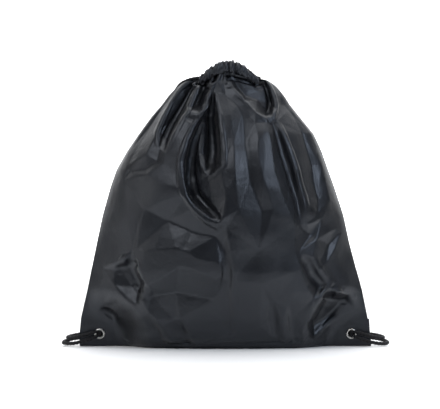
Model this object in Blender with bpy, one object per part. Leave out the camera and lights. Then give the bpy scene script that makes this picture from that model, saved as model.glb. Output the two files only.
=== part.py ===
"""Drawstring backpack, standing upright and drawn closed. Metres, +Z up, the front faces -Y.

The origin is on the floor, under the middle of the bag. The bag is two fabric panels sewn along the sides and
the bottom. Their top edges are hems that two drawcords run through. Both ends of a drawcord come out on one
side, hang down behind the bag as a shoulder strap, and pass through the eyelet in that side's bottom corner
to a knot behind it.
"""

import math

import bmesh
import bpy
from mathutils import Matrix, Vector

# Driving dimensions
BAG_WIDTH = 0.360  # along the bottom seam
GAP = 0.0003  # between solids that touch
FABRIC = 0.0008  # panel wall, which stands in for thin coated cloth
SEAM_HALF = 0.0005  # half the thickness of a seam allowance or corner patch
PLANE = SEAM_HALF + GAP  # where a panel's inner face lies at a seam, from the seam's own plane
SPLIT_Z = 0.300  # height at which the panels end and the hems of the mouth begin

# Half width and half depth of the filled bag at each height
OUTLINE = [
    (0.000, 0.1800, 0.042),
    (0.012, 0.1795, 0.057),
    (0.035, 0.1780, 0.067),
    (0.070, 0.1710, 0.076),
    (0.120, 0.1585, 0.081),
    (0.180, 0.1430, 0.081),
    (0.225, 0.1285, 0.073),
    (0.250, 0.1170, 0.063),
    (0.280, 0.0960, 0.048),
    (0.300, 0.0775, 0.038),
    (0.320, 0.0570, 0.028),
]

# The flat corner that holds an eyelet, and how far from the corner the panels are fully filled
EAR_WIDTH, EAR_HEIGHT = 0.055, 0.045
EAR_FLAT, EAR_FULL = 0.90, 2.3

# The cinched mouth: the hem's centre line is an arched half ellipse, front and rear
MOUTH_X = 0.004
MOUTH_HALF_WIDTH, MOUTH_HALF_DEPTH = 0.038, 0.020
MOUTH_SWEEP = math.radians(65)  # each half runs this far to either side of the middle
MOUTH_LOW_Z, MOUTH_ARCH = 0.3290, 0.0165
HEM_THICK, HEM_TALL = 0.0110, 0.0165
BORE_THICK, BORE_TALL = 0.0066, 0.0124
HEM_WALL = 0.0015
SHOULDER = 0.006  # how far the skirt's ends bulge above a straight line
REAR_TRAVEL = 0.007  # how far back the rear hem can move, which the straps keep clear of

# Cords
CORD = 0.0046
CORD_SPACING = 0.0058  # the two drawcords lie one above the other in the hem
CORD_STEP = 0.0105  # between a tube's rings
CORD_CLEARANCE = 0.0010  # from the rear of the bag that the straps hang against
CORD_SIDES = 2  # bevel_resolution, which gives 8 sides

# Eyelets
EYELET_X, EYELET_Z = 0.156, 0.0155
EYELET_HOLE, EYELET_BARREL, EYELET_RIM = 0.0038, 0.0046, 0.0067  # radii
FLANGE = 0.0010  # thickness of the rolled rim
PANEL_HOLE = EYELET_BARREL + GAP
PANEL_FACE = PLANE + FABRIC  # outer face of a panel at a seam
STUB = 0.0034  # radius of the cord ends squeezed through the eyelet
KNOT_SIZE = (0.0095, 0.0065, 0.0080)  # half sizes
ROUND = 24

# Seam allowances and corner patches
SEAM_ALLOWANCE = 0.008
PATCH_WIDTH, PATCH_HEIGHT = 0.044, 0.034
PATCH_CHAMFER = 0.012

COLUMNS, ROWS = 24, 22
HEM_ROWS = 4
SECTION = 16  # points round the hem's channel
SKIRT_INNER, SKIRT_MIDDLE, SKIRT_OUTER = 11, 12, 13  # those that the skirt hangs from, under the channel

LEFT, RIGHT = -1, 1
FRONT, REAR = -1, 1

BLACK_NYLON = ((0.016, 0.017, 0.021, 1), 0.42, 0.0)
BLACK_HEM = ((0.015, 0.016, 0.019, 1), 0.48, 0.0)
BLACK_TAPE = ((0.012, 0.012, 0.014, 1), 0.75, 0.0)
BLACK_CORD = ((0.010, 0.010, 0.011, 1), 0.80, 0.0)
NICKEL = ((0.72, 0.71, 0.68, 1), 0.25, 1.0)

# Routes of the straps' cords, as (outwards, back, up) from the mouth to the eyelet. The inner one comes out
# of the rear hem and the outer one out of the front hem.
INNER_ROUTE = [
    (0.0354, 0.0072, 0.3290), (0.0415, 0.0040, 0.3290), (0.0488, 0.0052, 0.3277), (0.0542, 0.0124, 0.3240),
    (0.0568, 0.0280, 0.3125), (0.0585, 0.0440, 0.2935), (0.0630, 0.0620, 0.2500), (0.0680, 0.0740, 0.2050),
    (0.0720, 0.0790, 0.1600), (0.0750, 0.0785, 0.1150), (0.0780, 0.0750, 0.0700), (0.0810, 0.0750, 0.0330),
    (0.0840, 0.0820, 0.0110), (0.0860, 0.0960, 0.0029), (0.0850, 0.1150, 0.0027), (0.0900, 0.1360, 0.0027),
    (0.1080, 0.1460, 0.0027), (0.1270, 0.1390, 0.0027), (0.1340, 0.1200, 0.0027), (0.1320, 0.0950, 0.0027),
    (0.1330, 0.0720, 0.0040), (0.1430, 0.0530, 0.0095), (0.1610, 0.0355, 0.0135), (0.1785, 0.0215, 0.0138),
    (0.1915, 0.0115, 0.0122), (0.1972, 0.0010, 0.0105), (0.1915, -0.0082, 0.0105), (0.1790, -0.0105, 0.0130),
    (0.1675, -0.0088, 0.0165), (0.1585, -0.0064, 0.0184),
]
OUTER_ROUTE = [
    (0.0354, -0.0072, 0.3290), (0.0410, -0.0038, 0.3292), (0.0490, -0.0020, 0.3277), (0.0580, 0.0060, 0.3238),
    (0.0630, 0.0210, 0.3165), (0.0655, 0.0350, 0.3020), (0.0700, 0.0520, 0.2680), (0.0750, 0.0680, 0.2200),
    (0.0800, 0.0770, 0.1750), (0.0840, 0.0790, 0.1300), (0.0870, 0.0760, 0.0850), (0.0900, 0.0740, 0.0450),
    (0.0930, 0.0770, 0.0170), (0.0960, 0.0890, 0.0033), (0.0960, 0.1080, 0.0027), (0.1000, 0.1270, 0.0027),
    (0.1110, 0.1340, 0.0027), (0.1210, 0.1290, 0.0027), (0.1240, 0.1130, 0.0027), (0.1230, 0.0920, 0.0027),
    (0.1270, 0.0700, 0.0040), (0.1400, 0.0480, 0.0060), (0.1590, 0.0370, 0.0080), (0.1790, 0.0270, 0.0088),
    (0.1950, 0.0170, 0.0070), (0.2020, 0.0060, 0.0045), (0.1990, -0.0055, 0.0036), (0.1880, -0.0118, 0.0040),
    (0.1760, -0.0118, 0.0065), (0.1660, -0.0092, 0.0102), (0.1585, -0.0064, 0.0128),
]


def smooth(t):
    t = min(1.0, max(0.0, t))
    return t * t * (3 - 2 * t)


def catmull(before, start, end, after, t):
    """A value on the smooth curve from start to end."""
    return 0.5 * (
        2 * start
        + (end - before) * t
        + (2 * before - 5 * start + 4 * end - after) * t * t
        + (3 * start - before - 3 * end + after) * t * t * t
    )


def outline(z):
    """Half width and half depth of the filled bag at height z."""
    z = min(max(z, OUTLINE[0][0]), OUTLINE[-1][0])
    i = max(k for k in range(len(OUTLINE) - 1) if OUTLINE[k][0] <= z)
    t = (z - OUTLINE[i][0]) / (OUTLINE[i + 1][0] - OUTLINE[i][0])
    rows = [OUTLINE[max(i - 1, 0)], OUTLINE[i], OUTLINE[i + 1], OUTLINE[min(i + 2, len(OUTLINE) - 1)]]
    return tuple(catmull(*(row[k] for row in rows), t) for k in (1, 2))


def fullness(s, z):
    """How far a panel stands from the seam's plane, as a share of its depth, at s from -1 to 1 across."""
    half_width, _ = outline(z)
    roundness = 1.0 - 0.35 * smooth((z - 0.06) / 0.22)
    lens = max(0.0, 1 - abs(s) ** 2.3) ** roundness
    from_corner = math.hypot(half_width * (1 - abs(s)) / EAR_WIDTH, z / EAR_HEIGHT)
    return lens * smooth((from_corner - EAR_FLAT) / (EAR_FULL - EAR_FLAT))


def side_profile(s):
    """The panel's outer line (depth, z) at s, from the bottom seam along the floor and up to the hem."""
    steps = 60
    wall = []
    for k in range(steps + 1):
        z = SPLIT_Z * (k / steps) ** 1.5
        wall.append((PANEL_FACE + outline(z)[1] * fullness(s, z), z))
    seam = PANEL_FACE - FABRIC * fullness(s, 0.0)
    floor = [(seam + (wall[0][0] - seam) * k / 10, 0.0) for k in range(10)]
    return floor + wall


def resampled(line, count):
    """count + 1 points evenly spaced along a line of points."""
    along = [0.0]
    for a, b in zip(line, line[1:]):
        along.append(along[-1] + math.dist(a, b))
    out, i = [], 0
    for k in range(count + 1):
        at = along[-1] * k / count
        while i < len(line) - 2 and along[i + 1] < at:
            i += 1
        t = (at - along[i]) / max(along[i + 1] - along[i], 1e-12)
        out.append([a + (b - a) * t for a, b in zip(line[i], line[i + 1])])
    return out


def new_object(name, bm, material, smooth_angle=40):
    bmesh.ops.recalc_face_normals(bm, faces=bm.faces)
    if bm.calc_volume(signed=True) < 0:
        bmesh.ops.reverse_faces(bm, faces=bm.faces)
    mesh = bpy.data.meshes.new(name)
    bm.to_mesh(mesh)
    bm.free()
    mesh.shade_smooth()
    mesh.set_sharp_from_angle(angle=math.radians(smooth_angle))
    mesh.materials.append(material)
    obj = bpy.data.objects.new(name, mesh)
    bpy.context.scene.collection.objects.link(obj)
    return obj


def make_material(name, look):
    colour, roughness, metallic = look
    material = bpy.data.materials.new(name)
    material.use_nodes = True
    shader = material.node_tree.nodes["Principled BSDF"]
    shader.inputs["Base Color"].default_value = colour
    shader.inputs["Roughness"].default_value = roughness
    shader.inputs["Metallic"].default_value = metallic
    return material


def boolean(obj, other, operation):
    other.hide_render = True
    other.display_type = "WIRE"
    modifier = obj.modifiers.new(operation.title(), "BOOLEAN")
    modifier.operation = operation
    modifier.object = other


def shell(name, outer, inner, material):
    """A thin closed solid between two grids of points of the same size."""
    rows, columns = len(outer), len(outer[0])
    bm = bmesh.new()
    out = [[bm.verts.new(p) for p in row] for row in outer]
    ins = [[bm.verts.new(p) for p in row] for row in inner]
    for j in range(rows - 1):
        for i in range(columns - 1):
            bm.faces.new((out[j][i], out[j][i + 1], out[j + 1][i + 1], out[j + 1][i]))
            bm.faces.new((ins[j][i], ins[j + 1][i], ins[j + 1][i + 1], ins[j][i + 1]))
    for j in (0, rows - 1):
        for i in range(columns - 1):
            bm.faces.new((out[j][i], out[j][i + 1], ins[j][i + 1], ins[j][i]))
    for i in (0, columns - 1):
        for j in range(rows - 1):
            bm.faces.new((out[j][i], out[j + 1][i], ins[j + 1][i], ins[j][i]))
    return new_object(name, bm, material)


def rod(name, radius, start, end, sides, material):
    """A round bar along Y from start to end, with its origin on its axis."""
    bm = bmesh.new()
    along = Matrix.Translation((0, (start + end) / 2, 0)) @ Matrix.Rotation(math.pi / 2, 4, "X")
    bmesh.ops.create_cone(
        bm, cap_ends=True, segments=sides, radius1=radius, radius2=radius, depth=end - start, matrix=along
    )
    return new_object(name, bm, material)


def cut_eyelet_hole(obj, hand):
    """Cut the hole for an eyelet's barrel through a panel or a corner patch."""
    cutter = rod(f"{obj.name}_hole_{hand}", PANEL_HOLE, -0.01, 0.01, ROUND, obj.data.materials[0])
    cutter.location = (hand * EYELET_X, 0, EYELET_Z)
    boolean(obj, cutter, "DIFFERENCE")


def column_places():
    """Places across a panel from -1 to 1, closer together near the side seams."""
    even = [2 * i / COLUMNS - 1 for i in range(COLUMNS + 1)]
    return [0.45 * s + 0.55 * math.sin(math.pi / 2 * s) for s in even]


def panel(name, side, material):
    """Front (side -1) or rear (side 1) panel, with the holes for the eyelets."""
    outer = [[] for _ in range(ROWS + 1)]
    for s in column_places():
        for j, (depth, z) in enumerate(resampled(side_profile(s), ROWS)):
            outer[j].append(Vector((s * outline(z)[0], side * depth, z)))
    inner = []
    for j, row in enumerate(outer):
        inner.append([])
        for i, point in enumerate(row):
            across = row[min(i + 1, COLUMNS)] - row[max(i - 1, 0)]
            up = outer[min(j + 1, ROWS)][i] - outer[max(j - 1, 0)][i]
            normal = across.cross(up).normalized() * -side
            if i in (0, COLUMNS):
                normal = Vector((0, side, 0))
            place = point - normal * FABRIC
            place.y = side * max(PLANE, side * place.y)
            place.z = min(max(place.z, 0.0), SPLIT_Z)
            inner[-1].append(place)
    obj = shell(name, outer, inner, material)
    for hand in (LEFT, RIGHT):
        cut_eyelet_hole(obj, hand)
    return obj


def mouth_point(angle, side, lift=0.0):
    """A point on the hem's centre line, angle from the middle of its half of the mouth."""
    return Vector((
        MOUTH_X + MOUTH_HALF_WIDTH * math.sin(angle),
        side * MOUTH_HALF_DEPTH * math.cos(angle),
        MOUTH_LOW_Z + MOUTH_ARCH * math.cos(angle / MOUTH_SWEEP * math.pi / 2) ** 2 + lift,
    ))


def rounded_section(half_thick, half_tall, power=0.6):
    """Points round a rounded rectangle as (thickness, height). The first is at a side, the fifth on top."""
    points = []
    for k in range(SECTION):
        angle = 2 * math.pi * k / SECTION
        across, up = math.cos(angle), math.sin(angle)
        across = half_thick * math.copysign(abs(across) ** power, across)
        up = half_tall * math.copysign(abs(up) ** power, up)
        points.append((across, up))
    return points


def skirt_ends(s, side):
    """The foot of the hem's skirt and the middle of its channel, at s from -1 to 1 across the bag."""
    lowest = SPLIT_Z + GAP
    half_width, depth = outline(lowest)
    foot = Vector((s * half_width, side * (PANEL_FACE + depth * fullness(s, lowest)), lowest))
    return foot, mouth_point(MOUTH_SWEEP * s, side)


def skirt_place(foot, head, s, t):
    """The point at t from the skirt's foot to its head, on the curve that the cloth makes at the sides."""
    return foot.lerp(head, t) + Vector((0, 0, SHOULDER * abs(s) ** 3 * 4 * t * (1 - t)))


def hem(name, side, material):
    """One half of the mouth: the gathered skirt of cloth above the panel, and the open channel on its top.

    Each station across the mouth has an outer loop, round the channel and down both faces of the skirt, and a
    loop round the channel's bore.
    """
    bm = bmesh.new()
    stations = []
    for s in column_places():
        foot, centre = skirt_ends(s, side)
        angle = MOUTH_SWEEP * s
        outward = Vector((MOUTH_HALF_DEPTH * math.sin(angle), side * MOUTH_HALF_WIDTH * math.cos(angle), 0))
        outward.normalize()
        around, bore = (
            [bm.verts.new(centre + outward * a + Vector((0, 0, b))) for a, b in rounded_section(*half_sizes)]
            for half_sizes in ((HEM_THICK / 2, HEM_TALL / 2), (BORE_THICK / 2, BORE_TALL / 2))
        )
        inner_foot = foot + Vector((-0.6 * s, -side * (1 - 0.5 * abs(s)), 0)).normalized() * HEM_WALL
        inner_foot.y = side * max(PLANE, side * inner_foot.y)
        faces = []
        for start, top in ((foot, SKIRT_OUTER), (inner_foot, SKIRT_INNER)):
            places = [skirt_place(start, around[top].co, s, j / HEM_ROWS) for j in range(HEM_ROWS)]
            faces.append([bm.verts.new(place) for place in places] + [around[top]])
        bm.verts.remove(around[SKIRT_MIDDLE])
        channel = [around[(SKIRT_OUTER + k) % SECTION] for k in range(SECTION - 1)]
        loop = faces[0][:-1] + channel + faces[1][-2::-1]
        stations.append((loop, around, bore, faces))
    for (loop_a, _, bore_a, _), (loop_b, _, bore_b, _) in zip(stations, stations[1:]):
        for ring_a, ring_b in ((loop_a, loop_b), (bore_a, bore_b)):
            for i in range(len(ring_a)):
                j = (i + 1) % len(ring_a)
                bm.faces.new((ring_a[i], ring_a[j], ring_b[j], ring_b[i]))
    for _, around, bore, (outer_face, inner_face) in (stations[0], stations[-1]):
        for k in range(SECTION - 2):
            i, j = (SKIRT_OUTER + k) % SECTION, (SKIRT_OUTER + k + 1) % SECTION
            bm.faces.new((around[i], around[j], bore[j], bore[i]))
        under = [bore[k] for k in (SKIRT_INNER, SKIRT_MIDDLE, SKIRT_OUTER)]
        bm.faces.new((around[SKIRT_INNER], *under, around[SKIRT_OUTER]))
        for j in range(HEM_ROWS):
            bm.faces.new((outer_face[j], outer_face[j + 1], inner_face[j + 1], inner_face[j]))
    return new_object(name, bm, material)


def tube(name, points, material):
    """A cord along points, as a curve with a round bevel and filled caps."""
    curve = bpy.data.curves.new(name, "CURVE")
    curve.dimensions = "3D"
    curve.bevel_depth = CORD / 2
    curve.bevel_resolution = CORD_SIDES
    curve.use_fill_caps = True
    spline = curve.splines.new("POLY")
    spline.points.add(len(points) - 1)
    for point, place in zip(spline.points, points):
        point.co = (*place, 1)
    curve.materials.append(material)
    obj = bpy.data.objects.new(name, curve)
    bpy.context.scene.collection.objects.link(obj)
    return obj


def smooth_route(route, step):
    """Evenly spaced points on the smooth curve through a route's own points."""
    fine = []
    route = [Vector(point) for point in route]
    ends = [2 * route[0] - route[1], *route, 2 * route[-1] - route[-2]]
    for a, b, c, d in zip(ends, ends[1:], ends[2:], ends[3:]):
        fine += [catmull(a, b, c, d, t / 8) for t in range(8)]
    fine.append(route[-1])
    length = sum((b - a).length for a, b in zip(fine, fine[1:]))
    return resampled(fine, max(2, round(length / step)))


def strap_route(points, hand):
    """A strap cord's route on one side of the bag. Its first points follow that end of the mouth."""
    placed = []
    for k, (out, back, up) in enumerate(points):
        follow = 1 - smooth(k / 5)
        placed.append((hand * out + MOUTH_X * follow, back, up - hand * CORD_SPACING / 2 * follow))
    return [clear_of_rear(point) for point in smooth_route(placed, CORD_STEP)]


def rear_face(x, z):
    """How far back the bag's rear surface is at (x, z), or 0 beside the bag."""
    if z <= SPLIT_Z:
        s = x / outline(z)[0]
        return PANEL_FACE + outline(z)[1] * fullness(s, z) if abs(s) < 1 else 0.0
    low, high = -1.0, 1.0
    for _ in range(24):
        s = (low + high) / 2
        foot, head = skirt_ends(s, REAR)
        head.z -= HEM_TALL / 2
        place = foot.lerp(head, min(1.0, (z - foot.z) / (head.z - foot.z)))
        if place.x < x:
            low = s
        else:
            high = s
    return place.y + REAR_TRAVEL if abs(s) < 0.999 and z < head.z else 0.0


def clear_of_rear(point):
    """The point, moved back where needed so that a cord there clears the bag's rear surface."""
    x, y, z = point
    step = 0.004
    face = rear_face(x, z)
    if y < 0.01 or face == 0.0:
        return Vector(point)
    slope = min(2.0, math.hypot(rear_face(x - step, z) - face, rear_face(x, z - step) - face) / step)
    return Vector((x, max(y, face + (CORD / 2 + CORD_CLEARANCE) * math.hypot(1, slope)), z))


def rim(word, side, hem_material, cord_material):
    """One half of the mouth, which slides away from the other: its hem, and the two drawcords inside it."""
    empty = bpy.data.objects.new(f"{word}_rim", None)
    empty.location = (MOUTH_X, side * MOUTH_HALF_DEPTH, MOUTH_LOW_Z)
    bpy.context.scene.collection.objects.link(empty)
    pieces = [hem(f"{word}_drawstring_hem", side, hem_material)]
    for owner, lift in (("left", CORD_SPACING / 2), ("right", -CORD_SPACING / 2)):
        points = [mouth_point(MOUTH_SWEEP * s, side, lift) for s in column_places()]
        pieces.append(tube(f"{owner}_drawcord_in_{word}_hem", points, cord_material))
    for piece in pieces:
        piece.parent = empty
        piece.matrix_parent_inverse = Matrix.Translation(-empty.location)


def cord_bridge(name, hand, lift, material):
    """The short bend of a drawcord from one hem into the other, on the far side from its strap."""
    start = mouth_point(hand * MOUTH_SWEEP, FRONT, lift)
    leave = math.atan2(MOUTH_HALF_WIDTH * math.cos(MOUTH_SWEEP), MOUTH_HALF_DEPTH * math.sin(MOUTH_SWEEP))
    radius = -start.y / math.sin(leave)
    turn = leave - 2 * GAP / radius
    points = []
    for k in range(7):
        angle = turn * (2 * k / 6 - 1)
        out = radius * (math.cos(angle) - math.cos(leave))
        points.append((start.x + hand * out, radius * math.sin(angle), start.z))
    return tube(name, points, material)


def turned_ring(name, hand, profile, material):
    """A ring turned about an eyelet's axis, from a closed profile of (radius, y)."""
    bm = bmesh.new()
    verts = [bm.verts.new((radius, y, 0)) for radius, y in profile]
    edges = [bm.edges.new((a, b)) for a, b in zip(verts, verts[1:] + verts[:1])]
    bmesh.ops.spin(
        bm, geom=verts + edges, cent=(0, 0, 0), axis=(0, 1, 0), angle=2 * math.pi, steps=ROUND, use_merge=True
    )
    bmesh.ops.remove_doubles(bm, verts=bm.verts, dist=1e-6)
    obj = new_object(name, bm, material, 50)
    obj.location = (hand * EYELET_X, 0, EYELET_Z)
    return obj


def eyelet(name, hand, material):
    """The front half: a rolled rim and a barrel that goes through the corner."""
    front = -(PANEL_FACE + GAP)
    back = PANEL_FACE + GAP + FLANGE
    profile = [
        (EYELET_HOLE, back), (EYELET_HOLE, front - FLANGE * 0.5), (EYELET_HOLE + 0.0006, front - FLANGE),
        ((EYELET_HOLE + EYELET_RIM) / 2, front - FLANGE * 1.25), (EYELET_RIM - 0.0006, front - FLANGE),
        (EYELET_RIM, front - FLANGE * 0.5), (EYELET_RIM - 0.0002, front), (EYELET_BARREL, front),
        (EYELET_BARREL, back),
    ]
    return turned_ring(name, hand, profile, material)


def washer(name, hand, material):
    """The ring behind the corner that the barrel is set into."""
    front = PANEL_FACE + GAP
    hole = EYELET_BARREL + GAP
    profile = [
        (hole, front), (EYELET_RIM, front), (EYELET_RIM, front + FLANGE * 0.5),
        (EYELET_RIM - 0.0006, front + FLANGE), (hole, front + FLANGE),
    ]
    return turned_ring(name, hand, profile, material)


def knot(name, hand, material):
    """The knotted cord ends behind the washer, squeezed into one stub that goes through the eyelet."""
    near = PANEL_FACE + GAP + FLANGE + GAP
    centre = near + 0.85 * KNOT_SIZE[1]
    bm = bmesh.new()
    bmesh.ops.create_uvsphere(bm, u_segments=16, v_segments=10, radius=1.0)
    for vert in bm.verts:
        x, y, z = (size * unit for size, unit in zip(KNOT_SIZE, vert.co))
        # The knot is flat where it bears on the washer.
        vert.co = (x, max(near, centre + y), z)
    body = new_object(name, bm, material, 60)
    stub = rod(name + "_stub", STUB, -(PANEL_FACE + GAP + FLANGE), centre, 12, material)
    for obj in (body, stub):
        obj.location = (hand * EYELET_X, 0, EYELET_Z)
    boolean(body, stub, "UNION")
    return body


def flat_strip(name, border, material):
    """A flat closed piece in the seam's plane, from its border's (x, z) points."""
    bm = bmesh.new()
    faces = []
    for y in (-SEAM_HALF, SEAM_HALF):
        faces.append([bm.verts.new((x, y, z)) for x, z in border])
    bm.faces.new(faces[0])
    bm.faces.new(list(reversed(faces[1])))
    count = len(border)
    for i in range(count):
        j = (i + 1) % count
        bm.faces.new((faces[0][i], faces[1][i], faces[1][j], faces[0][j]))
    return new_object(name, bm, material)


def side_seam(name, hand, material):
    """The overlocked allowances of both panels, inside the bag along a side."""
    low, high, steps = PATCH_HEIGHT + GAP, SPLIT_Z - 0.004, 14
    heights = [low + (high - low) * k / steps for k in range(steps + 1)]
    outside = [(hand * outline(z)[0], z) for z in heights]
    inside = [(hand * (outline(z)[0] - SEAM_ALLOWANCE), z) for z in reversed(heights)]
    return flat_strip(name, outside + inside, material)


def bottom_seam(name, material):
    half = BAG_WIDTH / 2 - PATCH_WIDTH - GAP
    border = [(-half, 0.0), (half, 0.0), (half, SEAM_ALLOWANCE), (-half, SEAM_ALLOWANCE)]
    return flat_strip(name, border, material)


def corner_patch(name, hand, material):
    """The stiff patch between the panels that the eyelet bites into."""
    outside, inside = BAG_WIDTH / 2, BAG_WIDTH / 2 - PATCH_WIDTH
    border = [
        (hand * outside, 0.0),
        (hand * outline(PATCH_HEIGHT)[0], PATCH_HEIGHT),
        (hand * (inside + PATCH_CHAMFER), PATCH_HEIGHT),
        (hand * inside, PATCH_HEIGHT - PATCH_CHAMFER),
        (hand * inside, 0.0),
    ]
    obj = flat_strip(name, border, material)
    cut_eyelet_hole(obj, hand)
    return obj


def main():
    for obj in list(bpy.data.objects):
        bpy.data.objects.remove(obj)
    nylon = make_material("black_nylon", BLACK_NYLON)
    hem_cloth = make_material("black_hem", BLACK_HEM)
    tape = make_material("black_tape", BLACK_TAPE)
    cord = make_material("black_cord", BLACK_CORD)
    nickel = make_material("nickel", NICKEL)

    panel("front_panel", FRONT, nylon)
    panel("rear_panel", REAR, nylon)
    rim("front", FRONT, hem_cloth, cord)
    rim("rear", REAR, hem_cloth, cord)
    bottom_seam("bottom_seam", tape)
    cord_bridge("left_drawcord_bridge", RIGHT, CORD_SPACING / 2, cord)
    cord_bridge("right_drawcord_bridge", LEFT, -CORD_SPACING / 2, cord)

    for hand, word in ((LEFT, "left"), (RIGHT, "right")):
        side_seam(f"{word}_side_seam", hand, tape)
        corner_patch(f"{word}_corner_patch", hand, tape)
        eyelet(f"{word}_eyelet", hand, nickel)
        washer(f"{word}_eyelet_washer", hand, nickel)
        knot(f"{word}_cord_knot", hand, cord)
        for route, which in ((INNER_ROUTE, "inner"), (OUTER_ROUTE, "outer")):
            tube(f"{word}_strap_cord_{which}", strap_route(route, hand), cord)


main()
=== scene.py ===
"""The look of the drawstring backpack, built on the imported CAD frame. Metres, +Z up, the front faces -Y.

Each panel starts as the filled bag's smooth surface, pressed in between creases, so that it lies in nearly
flat facets as stiff coated nylon does. The cloth is then settled for a few rounds, in which its threads go
back towards their own length. Channels, cords, eyelets, knots and stitches are meshes of their own.
"""

import math

import bpy
import numpy as np
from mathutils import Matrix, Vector
from mathutils.bvhtree import BVHTree
from mathutils.geometry import delaunay_2d_cdt


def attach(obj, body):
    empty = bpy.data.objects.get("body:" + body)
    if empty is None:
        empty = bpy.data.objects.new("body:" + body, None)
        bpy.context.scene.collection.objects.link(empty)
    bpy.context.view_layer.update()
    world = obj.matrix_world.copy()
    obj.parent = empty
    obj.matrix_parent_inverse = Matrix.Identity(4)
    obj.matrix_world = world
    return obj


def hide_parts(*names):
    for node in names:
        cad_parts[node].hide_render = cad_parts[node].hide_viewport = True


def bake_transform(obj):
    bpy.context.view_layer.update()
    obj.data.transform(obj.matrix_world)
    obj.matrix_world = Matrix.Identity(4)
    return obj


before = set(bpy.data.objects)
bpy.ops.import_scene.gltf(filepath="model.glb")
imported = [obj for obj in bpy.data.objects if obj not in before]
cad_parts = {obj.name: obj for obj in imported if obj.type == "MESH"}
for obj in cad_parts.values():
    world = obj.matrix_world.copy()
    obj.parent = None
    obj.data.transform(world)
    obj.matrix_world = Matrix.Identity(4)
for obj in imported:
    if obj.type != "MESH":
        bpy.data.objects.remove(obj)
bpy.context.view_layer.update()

# ------------------------------------------------------------
# Sizes

FLAT_WIDTH, FLAT_LENGTH = 0.380, 0.460  # of one panel, cut out flat, with the channel's cloth
SEAM_Y = 0.0010  # how far a panel's edge lies from the seam's plane
FLOOR_Z = 0.0006
COLUMNS, ROWS = 256, 296  # cells of the cloth's grid
CELL = FLAT_WIDTH / COLUMNS
LEVELS = (2, 1)  # the cloth is settled on grids with cells this many times as large, one after another

# Height, how far the left and the right side seam are from the middle, and the depth in the middle
SHAPE = np.array([
    (0.000, 0.1805, 0.1805, 0.042),
    (0.012, 0.1810, 0.1800, 0.056),
    (0.035, 0.1790, 0.1760, 0.066),
    (0.070, 0.1710, 0.1690, 0.075),
    (0.095, 0.1660, 0.1620, 0.079),
    (0.129, 0.1590, 0.1530, 0.0805),
    (0.162, 0.1520, 0.1460, 0.081),
    (0.196, 0.1425, 0.1350, 0.078),
    (0.218, 0.1350, 0.1270, 0.073),
    (0.241, 0.1220, 0.1190, 0.066),
    (0.263, 0.1070, 0.1090, 0.057),
    (0.285, 0.0910, 0.0910, 0.046),
    (0.300, 0.0780, 0.0790, 0.038),
])
NECK_Z = SHAPE[-1, 0]  # where the panels turn in towards the mouth
SHOULDER = 0.010  # how far the cloth rises beside the mouth, between the neck and the channel's ends

EAR_WIDTH, EAR_HEIGHT = 0.055, 0.045  # of the flat corners that hold the eyelets
EAR_FLAT, EAR_FULL = 0.85, 1.7  # of that size: where the cloth starts to fill out, and where it is full

MOUTH_X = 0.004  # the mouth's middle
MOUTH_HALF_WIDTH, MOUTH_HALF_DEPTH = 0.038, 0.020
MOUTH_SWEEP = math.radians(65)
MOUTH_LOW_Z, MOUTH_ARCH = 0.3290, 0.0165
CHANNEL_HALF_TALL, CHANNEL_HALF_THICK = 0.0075, 0.0048
CHANNEL_LEAN = 0.0026  # how far its top leans inwards, and its foot outwards
GATHERS = 8  # across one half of the mouth
GATHER_SWING = 0.0020
GATHERED_FROM, GATHERED_OVER = 0.93, 0.07  # of the way up a panel, where its gathers start and grow
STITCH_DEPTH = 0.8  # how far down the channel is stitched to the panel, as a share of its half height

EYELET_X, EYELET_Z = 0.156, 0.0155
EYELET_HOLE, EYELET_RIM = 0.0038, 0.0067
KNOT_Y = 0.0098
KNOT_CORD, EYELET_CORD = 0.0021, 0.0018  # the cord's radius, pulled tight in the knot and in the eyelet

CORD = 0.0046
CORD_SPACING = 0.0058  # between the two drawcords in the channel
CORD_RING = 0.0007  # between a cord mesh's rings
CORD_SIDES = 20
STRAND_PITCH = 0.0044  # from one strand to the next, along the cord
EXIT_PIECE = 0.024  # of a strap cord that moves with the mouth
EYELET_BEND_X = 0.180  # where its other end turns into the eyelet

# How the cloth settles: the rounds on each level's grid, how strongly it keeps to its guide there and where
# it is pressed in, the spare cloth, and for each level steps along it, their shortest reach and stiffness
ROUNDS = {2: 4, 1: 6}
HOLD = {2: 0.006, 1: 0.008}
PRESSED_HOLD = 0.02
SPARE_UP, SPARE_ACROSS = 0.004, 0.008
BENDING = {
    2: ((2, 0.990, 0.4), (4, 0.975, 0.3)),
    1: ((2, 0.990, 0.4), (4, 0.985, 0.3), (8, 0.97, 0.2)),
}

FRONT, REAR = -1, 1
WORD = {FRONT: "front", REAR: "rear"}
LEFT, RIGHT = -1, 1

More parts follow.
